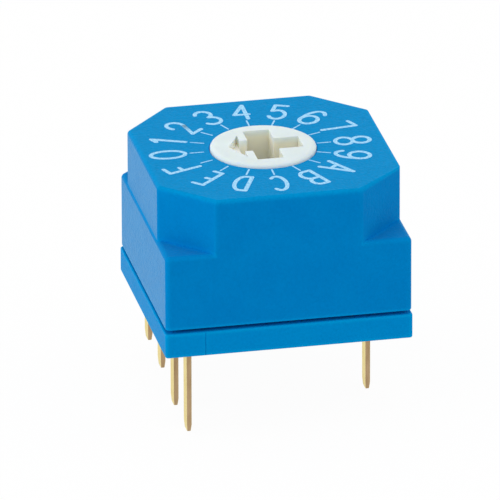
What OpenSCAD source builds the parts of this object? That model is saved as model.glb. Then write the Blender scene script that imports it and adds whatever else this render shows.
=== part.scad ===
// Sixteen-position hexadecimal coded rotary switch for a circuit board.
// The origin is the centre of the seating plane, on the base plate's underside.
// +Z is up, the dial's 0 lies at -X and the common terminal at +X.

/* [Housing] */
// Width of the square lower body
body_w = 9.7; // [9.5:0.1:10]
// Height of the shelf where the octagonal upper body starts
shelf_z = 4.18; // [4:0.02:4.4]
// Height of the top face above the board
top_z = 6.4; // [6.3:0.05:6.8]
// Step from each side of the lower body in to the octagon
side_step = 0.06; // [0.04:0.02:0.2]
// Leg of the octagon's four corner cuts
corner_cut = 1.92; // [1.6:0.04:2.08]
// Leg of the chamfer that marks the corner beside terminal 1
key_cut = 0.95; // [0.5:0.05:1.1]
// Radius of the upright edges
edge_r = 0.2; // [0.1:0.05:0.3]
// Width of the square cavity that the base plate's plug closes
cavity_w = 8.2; // [8.2:0.05:8.3]
// Height where the square cavity ends and the round chamber starts
cavity_z = 3.3; // [3.1:0.05:3.5]
// Radius of the chamber that the rotor turns in
chamber_r = 3.85; // [3.8:0.05:4]
// Height of the chamber's ceiling
ceiling_z = 4.55; // [4.55:0.01:4.6]

/* [Base plate] */
// Width of the plate, which stands a little proud of the housing
base_w = 9.75; // [9.6:0.05:10.1]
// Thickness of the plate
base_t = 1; // [0.95:0.05:1.1]
// Leg of the plate's chamfer, under the housing's own
base_key_cut = 0.85; // [0.5:0.05:1]
// Radius of the plate's upright edges
base_edge_r = 0.12; // [0.05:0.01:0.2]
// Open joint line between plate and housing
joint_gap = 0.14; // [0.04:0.02:0.14]
// Height of the plug's top face
plug_z = 1.75; // [1.65:0.05:1.85]
// Clearance of the plug in the housing's cavity
plug_gap = 0.05; // [0.03:0.01:0.08]
// Width of the potting recess in the underside
recess_w = 8.5; // [8.3:0.1:8.9]
// Depth of the potting recess
recess_d = 0.35; // [0.25:0.05:0.4]
// How far the resin stays below the seating plane
resin_inset = 0.08; // [0.04:0.02:0.14]

/* [Rotor] */
// Radius of the rotor's head in the dial
head_r = 2.07; // [2.0:0.01:2.1]
// Height of the head above the dial
head_rise = 0.15; // [0.05:0.05:0.25]
// Width of the rounded rim of the head
rim_w = 0.22; // [0.1:0.02:0.3]
// Height of the rounded rim
rim_h = 0.12; // [0.06:0.01:0.14]
// Radial clearance of the head and the pivot in their bores
turn_gap = 0.05; // [0.03:0.01:0.08]
// Width of the screwdriver slot
slot_w = 1.03; // [0.9:0.01:1.1]
// Length of the slot
slot_l = 2.88; // [2.6:0.02:3]
// Depth of the slot
slot_d = 1.3; // [1:0.05:1.35]
// Reach of the cross slot away from the reading
arm_l = 1.49; // [1.3:0.01:1.55]
// Reach of the arrow's tip, which points at the reading
arrow_tip = 1.37; // [1.3:0.01:1.5]
// Distance from the centre to the back of the arrow's head
arrow_back = 0.82; // [0.75:0.01:0.9]
// Half width of the arrow's head
arrow_half = 1.1; // [0.9:0.05:1.2]
// Depth of the arrow, which the cross slot runs into
arrow_d = 0.36; // [0.2:0.02:0.6]
// Radius of the flange that carries the code plate
flange_r = 3.7; // [3.65:0.01:3.7]

/* [Detent] */
// Depth of the radial notches in the flange
notch_d = 0.15; // [0.1:0.01:0.18]
// Thickness of the spring's sheet
detent_t = 0.12; // [0.1:0.01:0.15]

/* [Code plate] */
// Thickness of the gold-plated code plate
disc_t = 0.15; // [0.1:0.01:0.2]
// Width of each track's windows
window_w = 0.3; // [0.24:0.02:0.32]
// Radius of the innermost bit's track
inner_track_r = 1.95; // [1.95:0.01:2]
// Distance between the bits' tracks
track_pitch = 0.4; // [0.38:0.01:0.4]

/* [Terminals] */
// Distance between neighbouring terminals in the row
pitch = 2.54; // [2.5, 2.54]
// Distance between the two rows of terminals
row_w = 7.62; // [7.5, 7.62]
// Thickness of a terminal's blade
blade_t = 0.2; // [0.2:0.01:0.25]
// Width of a terminal's blade
blade_w = 0.6; // [0.5:0.05:0.65]
// Length of a blade below the seating plane
blade_l = 3.5; // [3:0.05:3.6]
// Length of the coined taper at a blade's tip
tip_l = 0.3; // [0.3:0.02:0.6]
// How much shorter the blade of terminal 1 was cut
trim_1 = 0.6; // [0:0.05:0.8]
// How much shorter the blade of terminal 2 was cut
trim_2 = 0.5; // [0:0.05:0.8]
// Thickness of the wipers' spring sheet
wiper_t = 0.09; // [0.08:0.01:0.1]
// Width of a wiper's arm
wiper_w = 0.34; // [0.3:0.01:0.36]

/* [Hidden] */
$fn = 64;

housing_blue = "#1C8FD0";
rotor_cream = "#EDEBDD";
gold = "#D9B45A";
spring_steel = "#A9ADB2";
seal_black = "#23262B";
resin_blue = "#1B3F63";

eps = 0.01;
positions = 16;
step = 360 / positions;

// Housing
bore_r = head_r + turn_gap;
shelf_step = body_w / 2 - side_step;
under_z = base_t + joint_gap;

// Rotor, from the pivot's foot up
pivot_r = 0.8;
pivot_foot_z = 1.15;
pivot_bevel = 0.12;
boss_r = 1.4;
boss_z = 2.45;
thrust_gap = 0.04;
hub_r = 1.1;
disc_z = 3.3;
disc_r = 3.5;
flange_top_z = 4;
shoulder_r = 2.5;
head_top_z = top_z + head_rise;
slot_floor_z = head_top_z - slot_d;
cross_half = slot_w / 2 + 0.015;

// Seal ring in its groove
seal_cord_d = 0.44;
seal_mid_r = bore_r - 0.03 - seal_cord_d / 2;
groove_r = seal_mid_r - seal_cord_d / 2 - 0.03;
groove_z = ceiling_z + 0.07;
groove_h = 0.5;

// Detent
spring_r = 3.6;
spring_bore_r = 2.7;
notch_inner_r = 2.7;
tongue_w = 0.5;
tongue_r = (notch_inner_r + flange_r) / 2;
tongue_l = 1.7;
stake_r = 0.25;
stake_mid_r = (spring_r + spring_bore_r) / 2;
stake_h = 0.3;

// Bits: value of each terminal, its place in the row and where its wiper meets the plate
BITS = [0, 1, 2, 3];
bit_y = [1.5 * pitch, 0.5 * pitch, -0.5 * pitch, -1.5 * pitch];
bit_track = [3, 1, 0, 2];
bit_azimuth = [115, 155, 205, 245];
bit_trim = [trim_1, trim_2, 0, 0];
row_x = row_w / 2;
common_y = -0.5 * pitch;
common_r = 1.45;
common_azimuth = -75;
ring_bore_r = hub_r + 0.02;

// Wipers
touch_gap = 0.02;
dimple_r = 0.14;
foot_back_l = 0.15;
foot_l = 0.45;
tail_l = 0.28;
anchor_w = 1;
neck_w = 0.34;
tip_share = 0.75;
anchor_z = [0.55, 0.9];

function track_r(bit) = inner_track_r + bit_track[bit] * track_pitch;
function polar(r, azimuth) = [r * cos(azimuth), r * sin(azimuth)];
function unit(v) = v / norm(v);

// Corner of a rounded outline: the two tangent points and the arc's centre
function corner_in(p, a, b, r) = let (u = unit(a - p), v = unit(b - p), half = acos(u * v) / 2)
    [p + u * r / tan(half), p + unit(u + v) * r / sin(half), p + v * r / tan(half)];

// Convex outline with every corner rounded
module rounded(points, r) {
    n = len(points);
    corners = [for (i = [0 : n - 1])
        corner_in(points[i], points[(i + n - 1) % n], points[(i + 1) % n], r)];
    polygon([for (c = corners) each [c[0], c[2]]]);
    for (c = corners) translate(c[1]) circle(r);
}

function plain_square(w) = let (h = w / 2) [[h, -h], [h, h], [-h, h], [-h, -h]];

// Square outline of width w with the corner beside terminal 1 cut off
function keyed_square(w, cut) = let (h = w / 2)
    [[h, -h], [h, h], [cut - h, h], [-h, h - cut], [-h, -h]];

// Octagon with x and y half widths and one leg length for its corner cuts
function octagon(hx, hy, cut) =
    [[hx, cut - hy], [hx, hy - cut], [hx - cut, hy], [cut - hx, hy],
     [-hx, hy - cut], [-hx, cut - hy], [cut - hx, -hy], [hx - cut, -hy]];

// Sheet of thickness t and width w that follows a path of [distance, height] points
module strip(path, t, w) {
    n = len(path);
    heading = [for (i = [0 : n - 2]) unit(path[i + 1] - path[i])];
    mitre = [for (i = [0 : n - 1])
        let (d0 = heading[max(i - 1, 0)], d1 = heading[min(i, n - 2)], m = unit(d0 + d1))
        [-m[1], m[0]] / (m * d0)];
    rotate([90, 0, 0]) translate([0, 0, -w / 2]) linear_extrude(w)
        polygon(concat(path, [for (i = [n - 1 : -1 : 0]) path[i] + mitre[i] * t]));
}

module ring(outer_r, inner_r, z0, z1) {
    difference() {
        translate([0, 0, z0]) cylinder(h = z1 - z0, r = outer_r);
        translate([0, 0, z0 - 1]) cylinder(h = z1 - z0 + 2, r = inner_r);
    }
}

// Run of window on one bit's track, over the positions where that bit is off
module windows(bit, z0, h) {
    run = pow(2, bit);
    for (k = [0 : positions / (2 * run) - 1])
        rotate(bit_azimuth[bit] + step * (2 * k * run - 0.5))
            rotate_extrude(angle = step * run)
                translate([track_r(bit) - window_w / 2, z0]) square([window_w, h]);
}

// Octagonal housing on a square lower body, open underneath
module housing() {
    color(housing_blue) {
        difference() {
            union() {
                translate([0, 0, under_z]) linear_extrude(shelf_z - under_z)
                    rounded(keyed_square(body_w, key_cut), edge_r);
                translate([0, 0, shelf_z - eps]) linear_extrude(top_z - shelf_z + eps)
                    rounded(octagon(shelf_step, body_w / 2, corner_cut), edge_r);
            }
            translate([0, 0, under_z - 1]) linear_extrude(cavity_z - under_z + 1)
                rounded(plain_square(cavity_w), edge_r);
            translate([0, 0, cavity_z - eps]) cylinder(h = ceiling_z - cavity_z + eps, r = chamber_r);
            translate([0, 0, ceiling_z - eps]) cylinder(h = top_z - ceiling_z + 1, r = bore_r);
        }
        // Studs that hold the detent spring to the ceiling
        for (x = [-stake_mid_r, stake_mid_r])
            translate([x, 0, ceiling_z - stake_h]) cylinder(h = stake_h + eps, r = stake_r);
    }
}

// Room that a blade, its anchor and its head take up in the base
module blade_in_base(x, y) {
    translate([x - blade_t / 2, y, 0]) {
        translate([0, -blade_w / 2, -1]) cube([blade_t, blade_w, anchor_z[0] + 1]);
        translate([0, -anchor_w / 2, anchor_z[0]]) cube([blade_t, anchor_w, anchor_z[1] - anchor_z[0]]);
        translate([0, -neck_w / 2, anchor_z[0]]) cube([blade_t, neck_w, plug_z]);
    }
}

module all_blades() {
    for (bit = BITS) blade_in_base(-row_x, bit_y[bit]);
    blade_in_base(row_x, common_y);
}

// Base plate with the plug that closes the housing and the pivot's boss
module base_plate() {
    color(housing_blue) difference() {
        union() {
            linear_extrude(base_t) rounded(keyed_square(base_w, base_key_cut), base_edge_r);
            linear_extrude(plug_z) rounded(plain_square(cavity_w - 2 * plug_gap), edge_r);
            cylinder(h = boss_z, r = boss_r);
        }
        translate([0, 0, pivot_foot_z - 0.1]) cylinder(h = boss_z, r = pivot_r + turn_gap);
        translate([0, 0, -1]) linear_extrude(recess_d + 1)
            rounded(keyed_square(recess_w, base_key_cut), edge_r);
        all_blades();
    }
}

// Resin poured round the terminals
module base_seal() {
    color(resin_blue) difference() {
        translate([0, 0, resin_inset]) linear_extrude(recess_d - resin_inset)
            rounded(keyed_square(recess_w, base_key_cut), edge_r);
        all_blades();
    }
}

// Screwdriver slot, the cross slot and the arrow's shallower head
module driver_slot() {
    translate([-slot_w / 2, -slot_l / 2, slot_floor_z]) cube([slot_w, slot_l, slot_d + 1]);
    translate([-arrow_back - eps, -cross_half, slot_floor_z])
        cube([arrow_back + eps + arm_l, 2 * cross_half, slot_d + 1]);
    translate([0, 0, head_top_z - arrow_d]) linear_extrude(arrow_d + 1)
        polygon([[-arrow_tip, 0], [-arrow_back, -arrow_half], [-arrow_back, arrow_half]]);
}

// Moulded rotor: head, seal groove, flange with its notches, hub and pivot
module rotor() {
    disc_top_z = disc_z + disc_t;
    color(rotor_cream) difference() {
        union() {
            rotate_extrude() polygon([
                [0, pivot_foot_z], [pivot_r - pivot_bevel, pivot_foot_z],
                [pivot_r, pivot_foot_z + pivot_bevel], [pivot_r, boss_z + thrust_gap],
                [hub_r, boss_z + thrust_gap], [hub_r, disc_top_z], [disc_r, disc_top_z],
                [disc_r, disc_z], [flange_r, disc_z], [flange_r, flange_top_z],
                [shoulder_r, flange_top_z], [shoulder_r, ceiling_z - thrust_gap],
                [head_r, ceiling_z - thrust_gap], [head_r, groove_z], [groove_r, groove_z],
                [groove_r, groove_z + groove_h], [head_r, groove_z + groove_h],
                each [for (turn = [90 : -30 : 0])
                    [head_r - rim_w + rim_w * sin(turn), head_top_z - rim_h + rim_h * cos(turn)]],
                [0, head_top_z]]);
            // Plastic that fills the code plate's windows flush
            for (bit = BITS) windows(bit, disc_z, disc_t + eps);
        }
        driver_slot();
        for (i = [0 : positions - 1]) rotate(i * step)
            translate([notch_inner_r, 0, flange_top_z]) rotate([45, 0, 0])
                translate([0, -notch_d / sqrt(2), -notch_d / sqrt(2)])
                    cube([flange_r, notch_d * sqrt(2), notch_d * sqrt(2)]);
    }
}

// Ring that seals the head in the housing's bore
module rotor_seal() {
    color(seal_black) translate([0, 0, groove_z + groove_h / 2])
        rotate_extrude() translate([seal_mid_r, 0]) circle(d = seal_cord_d, $fn = 32);
}

// Gold-plated plate whose windows code the sixteen positions
module code_disc() {
    color(gold) difference() {
        ring(disc_r, ring_bore_r, disc_z, disc_z + disc_t);
        for (bit = BITS) windows(bit, disc_z - eps, disc_t + 2 * eps);
    }
}

// Spring ring under the ceiling, with two tongues that click into the notches
module detent_spring() {
    ring_z = ceiling_z - detent_t;
    nose_z = flange_top_z - notch_d + touch_gap;
    land_z = flange_top_z + touch_gap;
    color(spring_steel) {
        difference() {
            ring(spring_r, spring_bore_r, ring_z, ceiling_z);
            for (x = [-stake_mid_r, stake_mid_r])
                translate([x, 0, ring_z - 1]) cylinder(h = 2, r = stake_r + 0.01);
        }
        for (side = [90, 270]) rotate(side) translate([tongue_r, 0, 0]) rotate(90)
            strip([[-tongue_l, ring_z - detent_t + eps], [-tongue_l + 0.4, ring_z - detent_t + eps],
                   [-notch_d, land_z + 0.02], [0, nose_z], [notch_d + 0.1, land_z + 0.12]],
                  detent_t, tongue_w);
    }
}

// Terminal blade with a coined tip, an anchor in the base and a neck that carries the wiper
module terminal(x, y, trim = 0) {
    half_t = blade_t / 2;
    half_w = blade_w / 2;
    tip_z = trim - blade_l;
    taper_z = tip_z + tip_l;
    color(gold) translate([x, y, 0]) intersection() {
        rotate([90, 0, 0]) linear_extrude(2 * anchor_w, center = true)
            polygon([[-half_t * tip_share, tip_z], [half_t * tip_share, tip_z],
                     [half_t, taper_z], [half_t, plug_z], [-half_t, plug_z], [-half_t, taper_z]]);
        rotate([90, 0, 90]) linear_extrude(2 * blade_t, center = true) union() {
            polygon([[-half_w * tip_share, tip_z], [half_w * tip_share, tip_z],
                     [half_w, taper_z], [half_w, anchor_z[1]], [-half_w, anchor_z[1]],
                     [-half_w, taper_z]]);
            translate([-anchor_w / 2, anchor_z[0]]) square([anchor_w, anchor_z[1] - anchor_z[0]]);
            translate([-neck_w / 2, anchor_z[0]]) square([neck_w, plug_z - anchor_z[0]]);
        }
    }
}

// Spring arm from a terminal's head up to its contact point under the code plate
module wiper(from, to) {
    run = norm(to - from);
    rise_z = disc_z - touch_gap - dimple_r;
    color(gold) translate(from) rotate(atan2(to[1] - from[1], to[0] - from[0])) {
        strip([[-foot_back_l, plug_z], [foot_l, plug_z], [run - 0.35, rise_z - wiper_t],
               [run + 0.1, rise_z - wiper_t / 2], [run + tail_l, rise_z - 0.15 - wiper_t]],
              wiper_t, wiper_w);
        translate([run, 0, rise_z]) sphere(dimple_r, $fn = 32);
    }
}

module bit_terminal(bit) { terminal(-row_x, bit_y[bit], bit_trim[bit]); }
module bit_wiper(bit) { wiper([-row_x, bit_y[bit]], polar(track_r(bit), bit_azimuth[bit])); }

housing();
base_plate();
base_seal();
rotor();
rotor_seal();
code_disc();
detent_spring();
bit_terminal(0);  // terminal_1
bit_terminal(1);  // terminal_2
bit_terminal(2);  // terminal_4
bit_terminal(3);  // terminal_8
terminal(row_x, common_y);  // terminal_common
bit_wiper(0);  // wiper_1
bit_wiper(1);  // wiper_2
bit_wiper(2);  // wiper_4
bit_wiper(3);  // wiper_8
wiper([row_x, common_y], polar(common_r, common_azimuth));  // wiper_common
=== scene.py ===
import math

import bmesh
import bpy
from mathutils import Matrix, Vector, noise
from mathutils.geometry import delaunay_2d_cdt


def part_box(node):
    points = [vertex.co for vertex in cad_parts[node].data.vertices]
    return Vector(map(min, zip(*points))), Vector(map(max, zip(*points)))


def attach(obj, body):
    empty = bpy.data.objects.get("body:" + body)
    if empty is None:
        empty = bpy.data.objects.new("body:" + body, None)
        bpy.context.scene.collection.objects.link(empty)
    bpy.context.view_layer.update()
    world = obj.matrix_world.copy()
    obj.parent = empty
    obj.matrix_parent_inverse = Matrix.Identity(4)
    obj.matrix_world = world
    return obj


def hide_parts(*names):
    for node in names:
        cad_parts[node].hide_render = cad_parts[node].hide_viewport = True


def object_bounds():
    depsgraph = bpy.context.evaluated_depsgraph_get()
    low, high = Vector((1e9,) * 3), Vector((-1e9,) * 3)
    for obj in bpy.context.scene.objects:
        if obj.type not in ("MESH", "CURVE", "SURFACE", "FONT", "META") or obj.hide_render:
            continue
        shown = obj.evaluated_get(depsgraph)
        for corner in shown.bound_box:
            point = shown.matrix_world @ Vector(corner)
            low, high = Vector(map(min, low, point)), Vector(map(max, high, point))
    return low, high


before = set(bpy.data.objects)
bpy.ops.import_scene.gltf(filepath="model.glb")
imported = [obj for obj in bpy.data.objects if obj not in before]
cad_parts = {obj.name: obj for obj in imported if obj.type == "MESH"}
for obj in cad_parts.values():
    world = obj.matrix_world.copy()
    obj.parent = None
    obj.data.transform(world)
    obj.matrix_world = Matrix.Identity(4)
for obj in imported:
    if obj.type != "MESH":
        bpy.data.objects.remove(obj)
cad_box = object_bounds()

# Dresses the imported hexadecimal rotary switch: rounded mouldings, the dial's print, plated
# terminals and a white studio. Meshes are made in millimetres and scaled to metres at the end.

# One millimetre in metres, and how close points lie, in millimetres, to be welded or to be level
MM = 0.001
WELD = 1e-4
NEAR = 1e-3


def box_mm(node):
    """Lowest and highest corner of a CAD node, in millimetres."""
    low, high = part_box(node)
    return Vector(low) / MM, Vector(high) / MM


house_low, house_high = box_mm("housing")
plate_high = box_mm("base_plate")[1]
rotor_high = box_mm("rotor")[1]

# Housing, in millimetres; the top's rim is rounded by TOP_RIM_R towards -X and -Y, and goes over to
# TOP_FAR_RIM_R towards +X and +Y as x + y rises from -RIM_CHANGE to RIM_CHANGE
BODY_HALF = house_high.x
UNDER_Z = house_low.z
TOP_Z = house_high.z
SHELF_Z = 4.18
SIDE_STEP = 0.06
CORNER_CUT = 1.92
KEY_CUT = 0.95
UPRIGHT_R = 0.2
TOP_RIM_R = 0.18
TOP_FAR_RIM_R = 0.03
RIM_CHANGE = 1.9
SHELF_RIM_R = 0.18
FOOT_R = 0.05
ROOT_Z = 3.7
CAVITY_HALF = 4.1
CAVITY_Z = 3.3
CHAMBER_R = 3.85
CEILING_Z = 4.55
BORE_R = 2.085
BORE_BREAK = 0.035
STAKE_R = 0.25
STAKE_MID_R = 3.15
STAKE_H = 0.3

# How far cutters and joined solids reach past the faces that they meet
CUT_PAST = 1
CUT_LAP = 0.01
STAKE_LAP = 0.2
WITNESS_PAST = 0.1

# Base plate
PLATE_HALF = plate_high.x
PLATE_T = 1.0
PLATE_KEY_CUT = 0.85
PLATE_RIM_R = 0.06
PLATE_RIM_BAND = 0.1
WITNESS_X = -3.3
WITNESS_HALF_W = 0.016
WITNESS_DEPTH = 0.035

# Rotor; the arrow lies towards -X, and a ridge parts its recess from the slot
HEAD_TOP_Z = rotor_high.z
SLOT_REACH = 1.75
SLOT_FLOOR_Z = 5.25
SLOT_LIP_R = 0.13
SLOT_EDGE_R = 0.05
ARROW_BACK_X = -0.81
ARROW_FLOOR_Z = 6.19
RIDGE_MID_X = -0.667
ARROW_CORNER_R = 0.05
UPRIGHT_MIN = 0.02
LIP_STEPS = 4

# Terminals
BLADE_EDGE_R = 0.03
BLADE_SHOWN_Z = 0.3
BLADE_LONG_EDGE = 1

# Dial print: centre line of each stroke, from the rotor's side outwards
PRINT_MID = Vector((-0.1, 0.045))
PRINT_TURN = -0.65
PRINT_FOOT_R = 2.965
GLYPH_H = 1.355
GLYPH_HALF_W = 0.36
STROKE_W = 0.16
STROKE_UNEVEN = 0.14
TICK_W = 0.065
TICK_R = (2.25, 2.76)
PRINT_T = 0.006
PRINT_BURIED = 0.01
SHARP_TURN = math.cos(math.radians(50))
STROKE_END_POINTS = 16
BOW_STEP = 12
BOW_MIN_STEPS = 4
PATCH_NEAR = 1e-5
DIAL_MARKS = "0123456789ABCDEF"
DIAL_START = 180

# Materials: where one colour goes over into another, in millimetres
BLUE_TOP_Z = (6.24, 6.36)
FACE_Z = (6.25, 6.5)
FACE_R = (1.6, 1.85)
# Depths over which the slot is painted darker, as painted shade
SHADE_DEEP_Z = (5.3, 6.0)
MOUTH_Z = (6.0, 6.5)
ARROW_X = (-0.86, -0.8)
CORNER_REACH = 0.25
# Width and sharpness of the painted highlight along rounded edges
HIGHLIGHT_R = 0.24
HIGHLIGHT_GAIN = 9
RAY_SAMPLES = 6
CORNER_AO = 0.6
OPEN_AO = 0.97

# Colours, linear; pairs are the two ends of an uneven one
BLUE_SIDE = (0.0, 0.2, 0.536)
# The top's lighter, greener blue is painted light, for how the top is lit
BLUE_TOP_LIT = (0.0, 0.265, 0.605)
# Lighter blue painted on rounded edges as a painted highlight; it also tints the random clouds faintly
BLUE_HIGHLIGHT = (0.0, 0.3, 0.66)
PLATE_BLUE = (0.0, 0.236, 0.585)
# The plate's edge colour is likewise a painted highlight
PLATE_HIGHLIGHT = (0.0, 0.33, 0.67)
SHEEN_TINT = (0.7, 1, 1, 1)
# Cool tint of the rotor's face and rim: a painted reflection of the surroundings
CREAM_FACE_REFLECTION = ((0.66, 0.75, 0.76), (0.71, 0.80, 0.81))
CREAM_INSIDE = (0.86, 0.85, 0.73)
# Lighter cream in the arrow's recess: painted light that lifts its shade
ARROW_PAINTED_LIGHT = (0.95, 0.94, 0.85)
PLATED = ((0.82, 0.70, 0.38), (0.90, 0.80, 0.48))
PLATED_TINT = (0.9, 0.83, 0.55, 1)
# Darker colour of the faces along Y: partly bare sheared metal, partly painted shade
SHEARED_AND_SHADED = ((0.37, 0.25, 0.13), (0.47, 0.33, 0.19))
INNER_GOLD = ((0.62, 0.44, 0.2), (0.74, 0.56, 0.28))
SPRING_STEEL = ((0.44, 0.45, 0.47), (0.58, 0.59, 0.6))
BLACK_RUBBER = ((0.012, 0.013, 0.015), (0.03, 0.031, 0.034))
FLOOR_WHITE = (0.92, 0.92, 0.92, 1)
WHITE = (1, 1, 1, 1)

# Blue plastic: shares of its own colour
SIDE_GRAIN = 0.93
TOP_GRAIN = 0.86
# Share above 1 for the colour down in corners: painted light that lifts their shade
CORNER_PAINTED_LIGHT = 1.12
BLOOM_LOW = 0.85

# Studio: levels are shares of a surface's own colour
WORLD_LEVEL = 0.8
FLOOR_HALF = 300
FLOOR_CELLS = 8
FLOOR_WHITE_SHARE = 0.96
LAMP_AWAY = 260
LAMP_SIZE = 220
TOP_LAMP = ((-0.1, -0.05, 1), 0.16)
LEFT_LAMP = ((-1, -0.04, 0.25), 0.4)
RIGHT_LAMP = ((1, -0.2, 0.5), 0.1)

# Camera: distance, lens and aim, with angles in degrees
VIEW_DISTANCE = 480
VIEW_AZIMUTH = -11.78
VIEW_ELEVATION = 23.12
VIEW_ROLL = -0.19
VIEW_LENS = 889.6
SENSOR_W = 36
CLIP_M = (0.05, 5)
AIM = Vector((0, 0, 2.88))
AIM_RIGHT = -0.52
AIM_UP = -0.72

# Smoothness
SHARP_ANGLE = math.radians(38)
FLAT_ANGLE = math.radians(0.5)
SOFTENED_ANGLE = math.radians(25)
ARC_STEPS = 6
ROUND_STEPS = 128
STAKE_STEPS = 24


# ---------------------------------------------------------------- outlines

def corner_arc(before, corner, after, radius, inset):
    """Arc that rounds one corner of a convex counter-clockwise outline, moved in by inset."""
    u, v = (before - corner).normalized(), (after - corner).normalized()
    half = math.acos(max(-1, min(1, u.dot(v)))) / 2
    centre = corner + (u + v).normalized() * radius / math.sin(half)
    turn = math.pi - 2 * half
    start = math.atan2(u.x, -u.y)
    return [centre + (radius - inset) * Vector((math.cos(start + turn * i / ARC_STEPS),
                                                math.sin(start + turn * i / ARC_STEPS)))
            for i in range(ARC_STEPS + 1)]


def rounded(corners, radius, inset):
    """Convex outline with its corners rounded, moved in by inset."""
    corners = [Vector(c) for c in corners]
    count = len(corners)
    return [p for i in range(count)
            for p in corner_arc(corners[i - 1], corners[i], corners[(i + 1) % count], radius, inset)]


def keyed_square(half, cut):
    """Square with the corner beside terminal 1 cut off."""
    return [(half, -half), (half, half), (cut - half, half), (-half, half - cut), (-half, -half)]


def plain_square(half):
    return [(half, -half), (half, half), (-half, half), (-half, -half)]


def octagon(hx, hy, cut):
    """Rectangle of the given half widths with its corners cut off at 45 degrees."""
    return [(hx, cut - hy), (hx, hy - cut), (hx - cut, hy), (cut - hx, hy),
            (-hx, hy - cut), (-hx, cut - hy), (cut - hx, -hy), (hx - cut, -hy)]


def smooth_step(t):
    """Eases from 0, up to t = -1, to 1, from t = 1 on."""
    t = max(0, min(1, (t + 1) / 2))
    return t * t * (3 - 2 * t)


# ---------------------------------------------------------------- meshes

def new_object(name, bm, closed=True):
    """Object made of bm. A closed mesh is turned to face outwards, an open one stays as it is."""
    if closed:
        bmesh.ops.recalc_face_normals(bm, faces=bm.faces)
    mesh = bpy.data.meshes.new(name)
    bm.to_mesh(mesh)
    bm.free()
    obj = bpy.data.objects.new(name, mesh)
    bpy.context.scene.collection.objects.link(obj)
    return obj


def loft(name, rings):
    """Closed solid through rings of 3-D points, each with the same number of points."""
    bm = bmesh.new()
    loops = [[bm.verts.new(p) for p in ring] for ring in rings]
    for lower, upper in zip(loops, loops[1:]):
        for i in range(len(lower)):
            bm.faces.new((lower[i - 1], lower[i], upper[i], upper[i - 1]))
    bm.faces.new(loops[0])
    bm.faces.new(loops[-1])
    return new_object(name, bm)


def moulded_prism(name, corners, radius, z0, z1, foot_r=0.0, rim_r=0.0, far_rim_r=None):
    """Upright prism with rounded corners, and a rounded edge at its foot and its rim.

    The rim's radius is rim_r towards -X and -Y, and goes over to far_rim_r towards +X and +Y."""
    outline = rounded(corners, radius, 0)
    inwards = [q - p for p, q in zip(outline, rounded(corners, radius, 1))]
    quarter = [math.pi / 2 * i / ARC_STEPS for i in range(ARC_STEPS + 1)]
    rims = [rim_r] * len(outline)
    if far_rim_r is not None:
        rims = [rim_r + (far_rim_r - rim_r) * smooth_step((p.x + p.y) / RIM_CHANGE) for p in outline]
    rings = []
    for a in quarter if foot_r else quarter[:1]:
        inset, z = foot_r * (1 - math.sin(a)), z0 + foot_r * (1 - math.cos(a))
        rings.append([(*(p + d * inset), z) for p, d in zip(outline, inwards)])
    for a in quarter if rim_r else quarter[:1]:
        rings.append([(*(p + d * r * (1 - math.cos(a))), z1 - r * (1 - math.sin(a)))
                      for p, d, r in zip(outline, inwards, rims)])
    return loft(name, rings)


def revolved(name, profile, steps=ROUND_STEPS):
    """Solid of revolution about Z, with flat ends, through the profile's (radius, height) points."""
    return loft(name, [[(r * math.cos(2 * math.pi * i / steps),
                         r * math.sin(2 * math.pi * i / steps), z) for i in range(steps)]
                       for r, z in profile])


def carve(obj, tool, operation="DIFFERENCE"):
    """Takes a tool solid away from obj, or joins it to obj, and removes the tool."""
    step = obj.modifiers.new("carve", "BOOLEAN")
    step.object = tool
    step.operation = operation
    step.solver = "EXACT"
    bpy.context.view_layer.update()
    done = obj.evaluated_get(bpy.context.evaluated_depsgraph_get())
    mesh = bpy.data.meshes.new_from_object(done)
    obj.modifiers.clear()
    obj.data = mesh
    bpy.data.objects.remove(tool)


def edit(obj, change):
    """Runs change(bm) on the object's mesh."""
    bm = bmesh.new()
    bm.from_mesh(obj.data)
    change(bm)
    bm.to_mesh(obj.data)
    bm.free()


def tidy(bm):
    """Welds points that coincide and joins coplanar faces."""
    bmesh.ops.remove_doubles(bm, verts=bm.verts, dist=WELD)
    bmesh.ops.dissolve_limit(bm, angle_limit=FLAT_ANGLE, verts=bm.verts, edges=bm.edges)


def cad_copy(node):
    """Copy of a CAD node in millimetres, welded, with its flat faces whole."""
    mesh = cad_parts[node].data.copy()
    for spare in ("custom_normal", "sharp_edge", "sharp_face"):
        if spare in mesh.attributes:
            mesh.attributes.remove(mesh.attributes[spare])
    mesh.materials.clear()
    mesh.transform(Matrix.Scale(1 / MM, 4))
    obj = bpy.data.objects.new(node + "_finished", mesh)
    bpy.context.scene.collection.objects.link(obj)
    edit(obj, tidy)
    return obj


def soften(bm, radius, wanted, segments=3, outer="SHARP", side=1):
    """Rounds the sharp edges for which wanted(edge) is true: convex ones, or concave with side -1."""
    edges = [e for e in bm.edges if e.is_manifold and
             side * e.calc_face_angle_signed() > SOFTENED_ANGLE and wanted(e)]
    bmesh.ops.bevel(bm, geom=edges, offset=radius, offset_type="OFFSET", segments=segments,
                    profile=0.5, affect="EDGES", clamp_overlap=True, miter_outer=outer)


def finish_piece(obj, body, material, replaces=()):
    """Scales a piece to metres, shades it, and ties it to its body, material slot and CAD nodes."""
    obj.data.transform(Matrix.Scale(MM, 4))
    obj.data.materials.clear()
    obj.data.materials.append(material)
    for face in obj.data.polygons:
        face.use_smooth = True
    obj.data.set_sharp_from_angle(angle=SHARP_ANGLE)
    even = obj.modifiers.new("even_shading", "WEIGHTED_NORMAL")
    even.keep_sharp = True
    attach(obj, body)
    if replaces:
        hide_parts(*replaces)


# ---------------------------------------------------------------- materials

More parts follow.
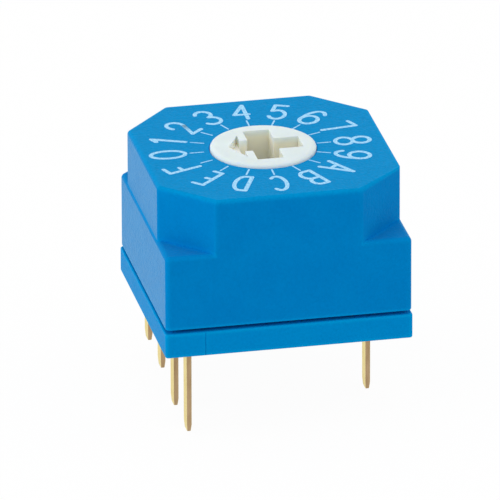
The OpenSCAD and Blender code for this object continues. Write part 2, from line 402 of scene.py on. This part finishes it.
class Surface:
    """One Principled shader with procedural detail in the piece's own coordinates."""

    def __init__(self, name, sockets):
        self.material = bpy.data.materials.new(name)
        self.material.use_nodes = True
        self.tree = self.material.node_tree
        self.shader = self.tree.nodes["Principled BSDF"]
        for socket, value in sockets.items():
            self.shader.inputs[socket].default_value = value
        self.place = self.tree.nodes.new("ShaderNodeTexCoord").outputs["Object"]

    def node(self, kind, links=(), **settings):
        """New node with its settings, its inputs set to values or linked to other nodes' outputs."""
        made = self.tree.nodes.new(kind)
        for setting, value in settings.items():
            setattr(made, setting, value)
        for socket, value in dict(links).items():
            if isinstance(value, bpy.types.NodeSocket):
                self.tree.links.new(value, made.inputs[socket])
            else:
                made.inputs[socket].default_value = value
        return made

    def noise(self, per_mm, detail, stretch=(1, 1, 1)):
        """Noise with about per_mm features to the millimetre along an axis of stretch 1."""
        scaled = self.node("ShaderNodeMapping", {
            "Vector": self.place, "Scale": [per_mm / MM * s for s in stretch]})
        return self.node("ShaderNodeTexNoise", {
            "Vector": scaled.outputs["Vector"], "Scale": 1.0, "Detail": detail}).outputs["Fac"]

    def spread(self, value, low, high, start=0.3, end=0.7):
        """Maps a value from start to end onto low to high, and holds it there beyond them."""
        return self.node("ShaderNodeMapRange", {
            "Value": value, "From Min": start, "From Max": end, "To Min": low,
            "To Max": high}).outputs["Result"]

    def blend(self, factor, first, second):
        """Colour that goes from the first to the second as the factor goes from 0 to 1."""
        mixed = self.node("ShaderNodeMix", data_type="RGBA")
        for socket, value in ((0, factor), (6, first), (7, second)):
            if isinstance(value, bpy.types.NodeSocket):
                self.tree.links.new(value, mixed.inputs[socket])
            else:
                mixed.inputs[socket].default_value = (*value, 1)
        return mixed.outputs[2]

    def open_ground(self, radius):
        """1 on open ground, falling to 0 down in a corner."""
        around = self.node("ShaderNodeAmbientOcclusion", {"Distance": radius * MM},
                           samples=RAY_SAMPLES)
        return self.spread(around.outputs["AO"], 0.0, 1.0, CORNER_AO, OPEN_AO)

    def edge(self, radius, gain):
        """0 on flat ground, rising to 1 where a rounded normal leaves the true one."""
        eased = self.node("ShaderNodeBevel", {"Radius": radius * MM}, samples=RAY_SAMPLES)
        true = self.node("ShaderNodeNewGeometry")
        dot = self.node("ShaderNodeVectorMath", {
            0: eased.outputs["Normal"], 1: true.outputs["True Normal"]}, operation="DOT_PRODUCT")
        return self.node("ShaderNodeMapRange", {
            "Value": dot.outputs["Value"], "From Min": 1.0, "From Max": 1.0 - 1.0 / gain,
            "To Min": 0.0, "To Max": 1.0}).outputs["Result"]

    def bump(self, height, depth, strength=1.0):
        """Relief of the given depth in millimetres."""
        relief = self.node("ShaderNodeBump", {
            "Height": height, "Distance": depth * MM, "Strength": strength})
        self.tree.links.new(relief.outputs["Normal"], self.shader.inputs["Normal"])

    def drive(self, socket, value):
        self.tree.links.new(value, self.shader.inputs[socket])

    def axis(self, name, source=None):
        """One part, X, Y or Z, of the place on the piece or of another vector."""
        return self.node("ShaderNodeSeparateXYZ", {"Vector": source or self.place}).outputs[name]

    def radius(self):
        """Distance from the rotor's axis."""
        flat = self.node("ShaderNodeVectorMath", {0: self.place, 1: (1, 1, 0)}, operation="MULTIPLY")
        return self.node("ShaderNodeVectorMath", {0: flat.outputs["Vector"]},
                         operation="LENGTH").outputs["Value"]

    def ramp(self, value, start, end):
        """0 up to start, 1 from end on, in millimetres."""
        return self.spread(value, 0.0, 1.0, start * MM, end * MM)

    def larger(self, first, second):
        return self.node("ShaderNodeMath", {0: first, 1: second}, operation="MAXIMUM").outputs[0]

    def times(self, first, second):
        return self.node("ShaderNodeMath", {0: first, 1: second}, operation="MULTIPLY").outputs[0]


def linear(r, g, b):
    """Linear colour of an sRGB one in 0 to 255."""
    return tuple((c / 255 / 12.92) if c <= 10 else ((c / 255 + 0.055) / 1.055) ** 2.4
                 for c in (r, g, b))


def shaded(colour, share):
    return tuple(c * share for c in colour)


PRINT_BLUE = (linear(120, 194, 240), linear(176, 222, 248))
RESIN_BLUE = (linear(14, 44, 84), linear(24, 62, 108))


def blue_plastic(name, side, top, edge, bloom):
    """Spark-eroded moulded plastic, with a fine grain, a painted highlight on its edges and a bloom
    seen at a slant.
    """
    s = Surface(name, {"IOR": 1.03, "Sheen Roughness": 0.21, "Sheen Tint": SHEEN_TINT})
    grain = s.noise(9, detail=3)
    cloud = s.noise(0.8, detail=2)
    mottle = s.noise(2.2, detail=4)
    on_top = s.ramp(s.axis("Z"), *BLUE_TOP_Z)
    ground = s.open_ground(CORNER_REACH)
    # Rounded edges are painted lighter, a painted highlight, except down in corners
    edge_highlight = s.times(s.edge(HIGHLIGHT_R, HIGHLIGHT_GAIN), ground)
    # Sides below, top above: the top's lighter colour is painted light
    body = s.blend(on_top, side, top)
    dark = s.blend(on_top, shaded(side, SIDE_GRAIN), shaded(top, TOP_GRAIN))
    body = s.blend(s.spread(grain, 0.0, 1.0), dark, body)
    body = s.blend(s.spread(cloud, 0.0, 0.12), body, edge)
    # Down in corners the side colour is painted lighter: painted light against the shade there
    body = s.blend(ground, shaded(side, CORNER_PAINTED_LIGHT), body)
    s.drive("Base Color", s.blend(edge_highlight, body, edge))
    s.drive("Sheen Weight", s.times(ground, s.spread(mottle, BLOOM_LOW * bloom, bloom)))
    s.drive("Roughness", s.spread(grain, 0.26, 0.36))
    s.bump(grain, 0.015, 0.9)
    return s.material


def cream_plastic():
    """Satin moulded off-white, slightly translucent, warmer in the slot and darker deep down; the cool
    face is a painted reflection and the dark depth painted shade.
    """
    s = Surface("rotor_cream", {
        "IOR": 1.4, "Subsurface Weight": 0.6, "Subsurface Scale": 0.4 * MM,
        "Subsurface Radius": (1.0, 0.9, 0.6)})
    flow = s.noise(0.7, detail=3)
    grain = s.noise(14, detail=2)
    outside = s.larger(s.ramp(s.axis("Z"), *FACE_Z), s.ramp(s.radius(), *FACE_R))
    # The face is painted cooler than the cream inside: a painted reflection
    face = s.blend(s.spread(flow, 0.0, 1.0), *CREAM_FACE_REFLECTION)
    # Deep in the slot the cream is painted darker: painted shade
    deep_shade = s.blend(s.ramp(s.axis("Z"), *SHADE_DEEP_Z), shaded(CREAM_INSIDE, 0.86),
                   shaded(CREAM_INSIDE, 0.96))
    inside = s.blend(s.ramp(s.axis("Z"), *MOUTH_Z), deep_shade, CREAM_INSIDE)
    # The arrow's recess is painted lighter: painted light against its shade
    inside = s.blend(s.ramp(s.axis("X"), *ARROW_X), ARROW_PAINTED_LIGHT, inside)
    s.drive("Base Color", s.blend(outside, inside, face))
    s.drive("Roughness", s.spread(grain, 0.36, 0.5))
    s.bump(grain, 0.003, 0.5)
    return s.material


def print_ink():
    """Pale blue marking, a little uneven where it follows the grain."""
    s = Surface("dial_print", {"IOR": 1.25})
    grain = s.noise(12, detail=3)
    s.drive("Base Color", s.blend(s.spread(grain, 0.0, 1.0, 0.35, 0.6), *PRINT_BLUE))
    s.drive("Roughness", s.spread(grain, 0.5, 0.7))
    s.bump(grain, 0.004, 0.5)
    return s.material


def strip_metal(name, colours, roughness, drawn=(1, 1, 0.05)):
    """Rolled strip, dull to bright, with fine drawing lines along the axis that drawn shrinks."""
    s = Surface(name, {"Metallic": 1.0})
    lines = s.noise(22, detail=2, stretch=drawn)
    tarnish = s.noise(1.6, detail=3)
    s.drive("Base Color", s.blend(s.spread(tarnish, 0.0, 1.0), *colours))
    s.drive("Roughness", s.spread(lines, roughness - 0.06, roughness + 0.08))
    s.bump(lines, 0.002, 0.5)
    return s


def terminal_gold():
    """Gold-plated strip whose sheared edges, which face along Y, are darker: partly the bare metal,
    partly painted shade.
    """
    s = strip_metal("terminal_gold", PLATED, 0.34)
    s.shader.inputs["Specular Tint"].default_value = PLATED_TINT
    plated = s.shader.inputs["Base Color"].links[0].from_socket
    lines = s.noise(6, detail=3, stretch=(1, 1, 0.2))
    sheared_and_shaded = s.blend(s.spread(lines, 0.0, 1.0), *SHEARED_AND_SHADED)
    facing = s.node("ShaderNodeMath", {
        0: s.axis("X", s.tree.nodes["Texture Coordinate"].outputs["Normal"])}, operation="ABSOLUTE")
    # Faces along Y take the darker colour: partly sheared metal, partly painted shade
    s.drive("Base Color", s.blend(s.spread(facing.outputs[0], 0.0, 1.0, 0.4, 0.75), sheared_and_shaded, plated))
    return s.material


def seal_rubber():
    s = Surface("seal_rubber", {"Specular IOR Level": 0.35})
    dust = s.noise(10, detail=3)
    s.drive("Base Color", s.blend(s.spread(dust, 0.0, 1.0), *BLACK_RUBBER))
    s.drive("Roughness", s.spread(dust, 0.55, 0.75))
    s.bump(dust, 0.002, 0.5)
    return s.material


def potting_resin():
    s = Surface("potting_resin", {"Specular IOR Level": 0.5, "Coat Weight": 0.3})
    swirl = s.noise(0.8, detail=4)
    s.drive("Base Color", s.blend(s.spread(swirl, 0.0, 1.0), *RESIN_BLUE))
    s.drive("Roughness", s.spread(swirl, 0.16, 0.32))
    s.bump(swirl, 0.03, 0.4)
    return s.material


HOUSING = blue_plastic("housing_blue", BLUE_SIDE, BLUE_TOP_LIT, BLUE_HIGHLIGHT, 1.0)
PLATE = blue_plastic("base_blue", PLATE_BLUE, PLATE_BLUE, PLATE_HIGHLIGHT, 0.1)
CREAM = cream_plastic()
INK = print_ink()
TERMINAL = terminal_gold()
GOLD = strip_metal("gold_plate", INNER_GOLD, 0.36).material
STEEL = strip_metal("spring_steel", SPRING_STEEL, 0.3, (0.05, 1, 1)).material
RUBBER = seal_rubber()
RESIN = potting_resin()


# ---------------------------------------------------------------- housing

def make_housing():
    """The square lower body and the octagon on it, hollowed out, with the detent spring's studs."""
    shell = moulded_prism("housing_shell", keyed_square(BODY_HALF, KEY_CUT), UPRIGHT_R,
                          UNDER_Z, SHELF_Z, FOOT_R, SHELF_RIM_R)
    eight_sides = octagon(BODY_HALF - SIDE_STEP, BODY_HALF, CORNER_CUT)
    upper = moulded_prism("upper", eight_sides, UPRIGHT_R, ROOT_Z, TOP_Z, 0.0, TOP_RIM_R,
                          TOP_FAR_RIM_R)
    carve(shell, upper, "UNION")
    carve(shell, moulded_prism("cavity", plain_square(CAVITY_HALF), UPRIGHT_R,
                               UNDER_Z - CUT_PAST, CAVITY_Z))
    carve(shell, revolved("chamber", [
        (CHAMBER_R, CAVITY_Z - CUT_LAP), (CHAMBER_R, CEILING_Z), (BORE_R, CEILING_Z),
        (BORE_R, TOP_Z - BORE_BREAK), (BORE_R + BORE_BREAK, TOP_Z),
        (BORE_R + BORE_BREAK, TOP_Z + CUT_PAST)]))
    for x in (-STAKE_MID_R, STAKE_MID_R):
        stake = revolved("stake", [(STAKE_R, CEILING_Z - STAKE_H),
                                   (STAKE_R, CEILING_Z + STAKE_LAP)], STAKE_STEPS)
        stake.data.transform(Matrix.Translation((x, 0, 0)))
        carve(shell, stake, "UNION")
    edit(shell, tidy)
    finish_piece(shell, "case", HOUSING, ["housing"])


# ---------------------------------------------------------------- base plate

def make_base_plate():
    """The CAD's plate with a softened rim and a fine upright witness line cut into its front."""
    plate = cad_copy("base_plate")

    def outermost(p):
        by_a_side = max(abs(p.x), abs(p.y)) > PLATE_HALF - PLATE_RIM_BAND
        return by_a_side or p.y - p.x > 2 * PLATE_HALF - PLATE_KEY_CUT - PLATE_RIM_BAND

    def on_rim(edge):
        low, high = sorted(v.co.z for v in edge.verts)
        return high - low < NEAR and all(outermost(v.co) for v in edge.verts)

    edit(plate, lambda bm: soften(bm, PLATE_RIM_R, on_rim))
    carve(plate, loft("witness", [
        [(WITNESS_X - WITNESS_HALF_W, -PLATE_HALF - CUT_LAP, z),
         (WITNESS_X + WITNESS_HALF_W, -PLATE_HALF - CUT_LAP, z),
         (WITNESS_X, WITNESS_DEPTH - PLATE_HALF, z)]
        for z in (-WITNESS_PAST, PLATE_T + WITNESS_PAST)]))
    finish_piece(plate, "case", PLATE, ["base_plate"])


# ---------------------------------------------------------------- rotor

def make_rotor():
    """The CAD's rotor with the edges of its slot and its arrow rounded."""
    rotor = cad_copy("rotor")

    def in_slot(edge):
        return all(v.co.xy.length < SLOT_REACH and v.co.z > SLOT_FLOOR_Z - NEAR
                   for v in edge.verts)

    def on_lip(edge):
        return in_slot(edge) and all(v.co.z > HEAD_TOP_Z - NEAR for v in edge.verts)

    def upright(edge):
        low, high = sorted(v.co.z for v in edge.verts)
        return in_slot(edge) and high - low > UPRIGHT_MIN

    def in_arrow(edge):
        return upright(edge) and all(v.co.x < ARROW_BACK_X and v.co.z > ARROW_FLOOR_Z - NEAR
                                     for v in edge.verts)

    def on_slot_corner(edge):
        return upright(edge) and all(v.co.x > RIDGE_MID_X for v in edge.verts)

    edit(rotor, lambda bm: soften(bm, ARROW_CORNER_R, in_arrow, LIP_STEPS, side=-1))
    edit(rotor, lambda bm: soften(bm, SLOT_LIP_R, on_lip, LIP_STEPS, "ARC"))
    edit(rotor, lambda bm: soften(bm, SLOT_EDGE_R, on_slot_corner))
    finish_piece(rotor, "dial", CREAM, ["rotor"])


# ---------------------------------------------------------------- terminals

def make_terminal(node):
    """The CAD's terminal with the edges of its blade rounded, as far as it shows."""
    blade = cad_copy(node)

    def below_board(edge):
        low, high = sorted(v.co.z for v in edge.verts)
        return high < BLADE_SHOWN_Z or (low < 0 and high - low > BLADE_LONG_EDGE)

    edit(blade, lambda bm: soften(bm, BLADE_EDGE_R, below_board))
    finish_piece(blade, "case", TERMINAL, [node])


# ---------------------------------------------------------------- dial print

def bow(cx, cy, rx, ry, start, end):
    """Points along an elliptic arc, with angles in degrees."""
    count = max(BOW_MIN_STEPS, round(abs(end - start) / BOW_STEP))
    return [(cx + rx * math.cos(math.radians(start + (end - start) * i / count)),
             cy + ry * math.sin(math.radians(start + (end - start) * i / count)))
            for i in range(count + 1)]


# Strokes of each mark: x runs from -1 to 1 across it and y from 0 at its foot to 1
SIX = bow(0.05, 0.5, 1, 0.5, 42, 180) + bow(0, 0.3, 0.95, 0.3, 180, 540)
GLYPHS = {
    "0": [bow(0, 0.5, 1.02, 0.5, 90, 450)],
    "1": [[(-0.62, 0.82), (0, 1), (0, 0)], [(-0.35, 0.86), (-0.05, 0.82)]],
    "2": [bow(-0.12, 0.73, 0.86, 0.27, 195, -35) + [(-0.82, 0), (0.8, 0)]],
    "3": [bow(-0.1, 0.76, 0.85, 0.24, 160, -80) + bow(-0.1, 0.26, 0.95, 0.26, 80, -155)],
    "4": [[(0.3, 0), (0.3, 1), (-1, 0.33), (0.62, 0.33)]],
    "5": [[(0.65, 1), (-0.7, 1), (-0.76, 0.56)] + bow(-0.08, 0.32, 0.88, 0.32, 130, -150)],
    "6": [SIX],
    "7": [[(-0.9, 0.99), (0.6, 1), (-0.35, 0)]],
    "8": [bow(0, 0.75, 0.86, 0.25, -90, 270), bow(0, 0.25, 0.97, 0.25, 90, 450)],
    "9": [[(-x, 1 - y) for x, y in SIX]],
    "A": [[(-0.92, 0), (0, 1), (0.92, 0)], [(-0.62, 0.33), (0.62, 0.33)]],
    "B": [[(-0.8, 0), (-0.8, 1)] + bow(0, 0.77, 0.66, 0.23, 90, -90) + [(-0.8, 0.54)],
          bow(0, 0.27, 0.82, 0.27, 90, -90) + [(-0.8, 0)]],
    "C": [bow(0, 0.5, 0.85, 0.5, 50, 310)],
    "D": [[(-0.75, 0), (-0.75, 1)] + bow(-0.1, 0.5, 0.85, 0.5, 90, -90) + [(-0.75, 0)]],
    "E": [[(0.66, 1), (-0.64, 1), (-0.64, 0), (0.4, 0)], [(-0.64, 0.52), (0.15, 0.52)]],
    "F": [[(0.7, 1), (-0.66, 1), (-0.66, 0)], [(-0.66, 0.56), (0.2, 0.56)]],
}


def stroke_patches(points, width):
    """Convex patches that cover a stroke: one for each step, and a disc at each end and sharp turn."""
    headings = [(b - a).normalized() for a, b in zip(points, points[1:])]
    turns = [u + v if u.dot(v) > SHARP_TURN else None for u, v in zip(headings, headings[1:])]
    turns = [None, *turns, None]
    halves = [width / 2 * (1 + STROKE_UNEVEN * noise.noise((*(p / STROKE_W), 0))) for p in points]
    patches = []
    for i, heading in enumerate(headings):
        sides = []
        for end in (i, i + 1):
            across = heading if turns[end] is None else turns[end].normalized()
            reach = halves[end] / across.dot(heading)
            side = Vector((-across.y, across.x)) * reach
            sides.append((points[end] + side, points[end] - side))
        (left, right), (far_left, far_right) = sides
        patches.append([right, far_right, far_left, left])
    for point, half, turn in zip(points, halves, turns):
        if turn is None:
            around = [2 * math.pi * k / STROKE_END_POINTS for k in range(STROKE_END_POINTS)]
            patches.append([point + half * Vector((math.cos(a), math.sin(a))) for a in around])
    return patches


def raise_plate(bm, patches, low, high):
    """Joins overlapping flat patches into one plate: its top, its underside and a wall round it."""
    points, rings = [], []
    for patch in patches:
        rings.append(range(len(points), len(points) + len(patch)))
        points += patch
    inside_faces = 1
    flat, _, triangles, _, _, covers = delaunay_2d_cdt(points, [], rings, inside_faces, PATCH_NEAR)
    tops = [bm.verts.new((p.x, p.y, high)) for p in flat]
    feet = [bm.verts.new((p.x, p.y, low)) for p in flat]
    sides = set()
    for corners, patches_over in zip(triangles, covers):
        if not patches_over:
            continue
        bm.faces.new([tops[i] for i in corners])
        bm.faces.new([feet[i] for i in reversed(corners)])
        sides |= {(corners[k - 1], corners[k]) for k in range(3)}
    for a, b in sides:
        if (b, a) not in sides:
            bm.faces.new((tops[b], tops[a], feet[a], feet[b]))


def make_print():
    """The dial's sixteen marks, each with its tick, as one thin raised print."""
    bm = bmesh.new()
    for place, mark in enumerate(DIAL_MARKS):
        azimuth = math.radians(DIAL_START + PRINT_TURN - place * 360 / len(DIAL_MARKS))
        up = Vector((math.cos(azimuth), math.sin(azimuth)))
        right = Vector((up.y, -up.x))
        patches = stroke_patches([PRINT_MID + up * r for r in TICK_R], TICK_W)
        for path in GLYPHS[mark]:
            points = [PRINT_MID + right * x * GLYPH_HALF_W + up * (PRINT_FOOT_R + y * GLYPH_H)
                      for x, y in path]
            steps = [b for a, b in zip(points, points[1:]) if (b - a).length > WELD]
            patches += stroke_patches([points[0], *steps], STROKE_W)
        raise_plate(bm, patches, TOP_Z - PRINT_BURIED, TOP_Z + PRINT_T)
    bmesh.ops.delete(bm, geom=[v for v in bm.verts if not v.link_faces], context="VERTS")
    bmesh.ops.remove_doubles(bm, verts=bm.verts, dist=WELD)
    finish_piece(new_object("dial_marks", bm), "case", INK)


# ---------------------------------------------------------------- studio

def see_white(tree, shader, share, emission):
    """Mixes an emission over a shader, for camera, glossy and transmission rays alone."""
    nodes, links = tree.nodes, tree.links
    path = nodes.new("ShaderNodeLightPath")
    seen = None
    for ray in ("Is Camera Ray", "Is Glossy Ray", "Is Transmission Ray"):
        if seen is None:
            seen = path.outputs[ray]
            continue
        either = nodes.new("ShaderNodeMath")
        either.operation = "MAXIMUM"
        links.new(seen, either.inputs[0])
        links.new(path.outputs[ray], either.inputs[1])
        seen = either.outputs[0]
    scaled = nodes.new("ShaderNodeMath")
    scaled.operation = "MULTIPLY"
    scaled.inputs[1].default_value = share
    links.new(seen, scaled.inputs[0])
    mix = nodes.new("ShaderNodeMixShader")
    links.new(scaled.outputs[0], mix.inputs[0])
    links.new(shader, mix.inputs[1])
    links.new(emission, mix.inputs[2])
    return mix.outputs[0]


def make_floor():
    """White floor that keeps a faint shadow, and is clear when seen from below."""
    bm = bmesh.new()
    bmesh.ops.create_grid(bm, x_segments=FLOOR_CELLS, y_segments=FLOOR_CELLS,
                          size=FLOOR_HALF * MM)
    bmesh.ops.translate(bm, verts=bm.verts, vec=(0, 0, cad_box[0].z))
    floor = new_object("floor", bm, closed=False)
    material = bpy.data.materials.new("floor_white")
    material.use_nodes = True
    tree = material.node_tree
    nodes, links = tree.nodes, tree.links
    nodes.remove(nodes["Principled BSDF"])
    diffuse = nodes.new("ShaderNodeBsdfDiffuse")
    diffuse.inputs["Color"].default_value = FLOOR_WHITE
    glow = nodes.new("ShaderNodeEmission")
    lit = see_white(tree, diffuse.outputs[0], FLOOR_WHITE_SHARE, glow.outputs[0])
    clear = nodes.new("ShaderNodeBsdfTransparent")
    side = nodes.new("ShaderNodeNewGeometry")
    mix = nodes.new("ShaderNodeMixShader")
    links.new(side.outputs["Backfacing"], mix.inputs[0])
    links.new(lit, mix.inputs[1])
    links.new(clear.outputs[0], mix.inputs[2])
    links.new(mix.outputs[0], nodes["Material Output"].inputs["Surface"])
    floor.data.materials.append(material)


def make_world():
    """Even light from all round, seen as plain white."""
    world = bpy.data.worlds.new("studio")
    bpy.context.scene.world = world
    world.use_nodes = True
    tree = world.node_tree
    ambient = tree.nodes["Background"]
    ambient.inputs["Color"].default_value = WHITE
    ambient.inputs["Strength"].default_value = WORLD_LEVEL
    white = tree.nodes.new("ShaderNodeBackground")
    white.inputs["Color"].default_value = WHITE
    lit = see_white(tree, ambient.outputs[0], 1.0, white.outputs[0])
    tree.links.new(lit, tree.nodes["World Output"].inputs["Surface"])


def soft_box(name, direction, level):
    """Square lamp that lights a facing surface to the given share of its own colour."""
    lamp = bpy.data.lights.new(name, "AREA")
    lamp.shape = "SQUARE"
    lamp.size = LAMP_SIZE * MM
    lamp.energy = level * math.pi ** 2 * (LAMP_AWAY * MM) ** 2
    obj = bpy.data.objects.new(name, lamp)
    bpy.context.scene.collection.objects.link(obj)
    towards = Vector(direction).normalized()
    obj.location = (AIM + towards * LAMP_AWAY) * MM
    obj.rotation_mode = "QUATERNION"
    obj.rotation_quaternion = towards.to_track_quat("Z", "Y")


def make_studio():
    make_floor()
    make_world()
    soft_box("top_lamp", *TOP_LAMP)
    soft_box("left_lamp", *LEFT_LAMP)
    soft_box("right_lamp", *RIGHT_LAMP)
    bpy.context.scene.view_settings.view_transform = "Standard"


def make_camera():
    camera = bpy.data.cameras.new("camera")
    camera.sensor_width = SENSOR_W
    camera.lens = VIEW_LENS
    camera.clip_start, camera.clip_end = CLIP_M
    obj = bpy.data.objects.new("camera", camera)
    bpy.context.scene.collection.objects.link(obj)
    azimuth, elevation, roll = (math.radians(a) for a in (VIEW_AZIMUTH, VIEW_ELEVATION, VIEW_ROLL))
    back = Vector((math.sin(azimuth) * math.cos(elevation),
                   -math.cos(azimuth) * math.cos(elevation), math.sin(elevation)))
    right = Vector((math.cos(azimuth), math.sin(azimuth), 0))
    up = back.cross(right)
    right, up = (math.cos(roll) * right + math.sin(roll) * up,
                 math.cos(roll) * up - math.sin(roll) * right)
    place = (AIM + right * AIM_RIGHT + up * AIM_UP + back * VIEW_DISTANCE) * MM
    obj.matrix_world = Matrix((
        (right.x, up.x, back.x, place.x), (right.y, up.y, back.y, place.y),
        (right.z, up.z, back.z, place.z), (0, 0, 0, 1)))
    bpy.context.scene.camera = obj


# ---------------------------------------------------------------- the whole

make_camera()
make_studio()
make_housing()
make_base_plate()
make_rotor()
make_print()
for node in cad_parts:
    if node.startswith("terminal"):
        make_terminal(node)

CARRIED_OVER = {
    "base_seal": RESIN, "rotor_seal": RUBBER, "code_disc": GOLD, "detent_spring": STEEL,
    "wiper_1": GOLD, "wiper_2": GOLD, "wiper_4": GOLD, "wiper_8": GOLD, "wiper_common": GOLD}
for node, material in CARRIED_OVER.items():
    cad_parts[node].material_slots[0].material = material
